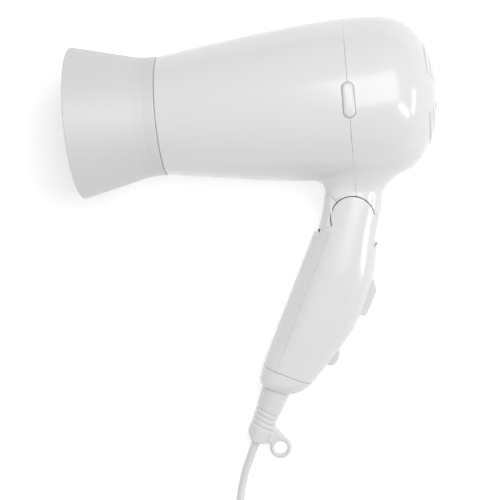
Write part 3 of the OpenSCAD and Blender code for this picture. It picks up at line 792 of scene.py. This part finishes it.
def material(name, colour, roughness, metallic=0.0, bump=0.0, bump_scale=900.0, vary=0.05,
             tint=0.02, soft=0.0):
    """Moulded plastic, card or metal: slight differences of colour and gloss, and a fine grain."""
    mat = bpy.data.materials.new(name)
    mat.use_nodes = True
    nodes, links = mat.node_tree.nodes, mat.node_tree.links
    nodes.clear()
    out = nodes.new("ShaderNodeOutputMaterial")
    shader = nodes.new("ShaderNodeBsdfPrincipled")
    links.new(shader.outputs[0], out.inputs[0])
    where = nodes.new("ShaderNodeTexCoord")
    broad = nodes.new("ShaderNodeTexNoise")
    broad.inputs["Scale"].default_value = 35
    broad.inputs["Detail"].default_value = 3
    links.new(where.outputs["Object"], broad.inputs["Vector"])
    ramp = nodes.new("ShaderNodeValToRGB")
    ramp.color_ramp.elements[0].position, ramp.color_ramp.elements[1].position = 0.3, 0.7
    ramp.color_ramp.elements[0].color = (*[c * (1 - tint) for c in colour], 1)
    ramp.color_ramp.elements[1].color = (*[min(1, c * (1 + tint)) for c in colour], 1)
    links.new(broad.outputs["Fac"], ramp.inputs["Fac"])
    links.new(ramp.outputs["Color"], shader.inputs["Base Color"])
    rough = nodes.new("ShaderNodeMapRange")
    rough.inputs["To Min"].default_value = max(0.02, roughness - vary)
    rough.inputs["To Max"].default_value = min(1, roughness + vary)
    links.new(broad.outputs["Fac"], rough.inputs["Value"])
    links.new(rough.outputs["Result"], shader.inputs["Roughness"])
    shader.inputs["Metallic"].default_value = metallic
    shader.inputs["Sheen Weight"].default_value = soft
    shader.inputs["Sheen Roughness"].default_value = 0.5
    if bump:
        grain = nodes.new("ShaderNodeTexNoise")
        grain.inputs["Scale"].default_value = bump_scale
        grain.inputs["Detail"].default_value = 4
        links.new(where.outputs["Object"], grain.inputs["Vector"])
        node = nodes.new("ShaderNodeBump")
        node.inputs["Strength"].default_value = 1.0
        node.inputs["Distance"].default_value = bump
        links.new(grain.outputs["Fac"], node.inputs["Height"])
        links.new(node.outputs["Normal"], shader.inputs["Normal"])
    return mat


gloss = material("gloss_white", (0.845, 0.845, 0.85), 0.2, bump=2e-6, bump_scale=260, vary=0.04,
                 tint=0.008)
satin = material("satin_white", (0.74, 0.74, 0.745), 0.46, bump=1.2e-5, bump_scale=2200,
                 vary=0.05, tint=0.01)
pvc = material("soft_white_pvc", (0.79, 0.79, 0.79), 0.42, bump=1.5e-5, bump_scale=1500,
               vary=0.06, tint=0.015, soft=0.15)
dark = material("dark_moulding", (0.035, 0.035, 0.038), 0.5, bump=1e-5, bump_scale=1600)
ivory = material("ivory_moulding", (0.72, 0.68, 0.58), 0.45, bump=1e-5, bump_scale=1200)
mica = material("mica_card", (0.62, 0.53, 0.36), 0.55, bump=3e-5, bump_scale=500, tint=0.12)
steel = material("brushed_steel", (0.55, 0.56, 0.58), 0.33, metallic=1, bump=4e-6,
                 bump_scale=3000)
brass = material("nickelled_brass", (0.72, 0.66, 0.5), 0.24, metallic=1, bump=3e-6,
                 bump_scale=2500)
nichrome = material("resistance_wire", (0.3, 0.28, 0.27), 0.4, metallic=1, vary=0.1)
board = material("circuit_board", (0.05, 0.16, 0.07), 0.4, bump=2e-5, bump_scale=700)
rubber = material("wire_insulation", (0.28, 0.12, 0.05), 0.5, bump=1e-5, bump_scale=1500)

for key in ("front_casing", "rear_casing", "side_clips", "handle_rear", "handle_front", "end_cap"):
    made[key].data.materials.append(gloss)
for key in ("nozzle", "switch_knob", "cool_button"):
    made[key].data.materials.append(satin)
for piece in (made["strain_relief"], cord, plug, cord_tie):
    piece.data.materials.append(pvc)
plug_pins.data.materials.append(brass)
pin_sleeves.data.materials.append(dark)
made["element"].data.materials.append(nichrome)

FINISHES = {
    gloss: ["front_casing", "rear_casing", "side_clips", "handle_rear_shell",
            "handle_front_shell", "end_cap"],
    satin: ["nozzle", "switch_knob", "cool_button", "intake_screen", "hinge_knuckle"],
    pvc: ["strain_relief", "cord_lead", "cord_coil", "cord_tie", "plug_body"],
    dark: ["outlet_grille", "fan_impeller", "switch_body", "switch_carriage", "cool_switch"],
    ivory: ["fan_duct", "terminal_block", "cord_clamp", "motor_end_cap"],
    mica: ["mica_tube", "mica_frame"],
    steel: ["motor_can", "motor_shaft", "casing_screws", "friction_washers", "pivot_pin",
            "handle_screws", "button_spring", "thermostat", "thermal_fuse"],
    brass: ["plug_pins"],
    nichrome: ["heating_coil"],
    board: ["rectifier_board"],
    rubber: ["inner_leads"],
}
for finish, names in FINISHES.items():
    for name in names:
        node = frame["nodes"][name]
        node.data.materials.clear()
        node.data.materials.append(finish)

# ---- Floor and light ----

floor_mesh = make_mesh("floor", [(-10, -10, 0), (10, -10, 0), (10, 10, 0), (-10, 10, 0)],
                       [(0, 1, 2, 3)])
floor = bpy.data.objects.new("floor", floor_mesh)
bpy.context.scene.collection.objects.link(floor)
paper = material("floor_paper", (0.93, 0.93, 0.93), 0.9, vary=0.02, tint=0.002)
shader = next(n for n in paper.node_tree.nodes if n.type == "BSDF_PRINCIPLED")
shader.inputs["Emission Color"].default_value = (1, 1, 1, 1)
shader.inputs["Emission Strength"].default_value = 0.33
floor.data.materials.append(paper)

world = bpy.data.worlds.new("world")
bpy.context.scene.world = world
world.use_nodes = True
world.node_tree.nodes["Background"].inputs["Color"].default_value = (1, 1, 1, 1)
world.node_tree.nodes["Background"].inputs["Strength"].default_value = 0.35


def area(name, at, towards, power, width, height, lights_all=True):
    """An area light. One that lights nothing but reflections leaves the shading alone."""
    lamp = bpy.data.lights.new(name, "AREA")
    lamp.shape, lamp.energy, lamp.size, lamp.size_y = "RECTANGLE", power, width, height
    light = bpy.data.objects.new(name, lamp)
    bpy.context.scene.collection.objects.link(light)
    light.location = at
    light.rotation_mode = "QUATERNION"
    light.rotation_quaternion = (Vector(towards) - Vector(at)).to_track_quat("-Z", "Y")
    light.visible_diffuse = lights_all


area("key", (0.36, 0.08, 1.3), (0, 0, 0), 12, 1.0, 1.0)
area("strip", (0.76, -0.38, 0.61), (0.05, -0.02, 0.04), 2.6, 0.10, 0.46, lights_all=False)
area("low", (0.93, -0.11, 0.25), (0.07, 0.02, 0.03), 1.8, 0.40, 0.08, lights_all=False)

bpy.context.scene.view_settings.view_transform = "Standard"
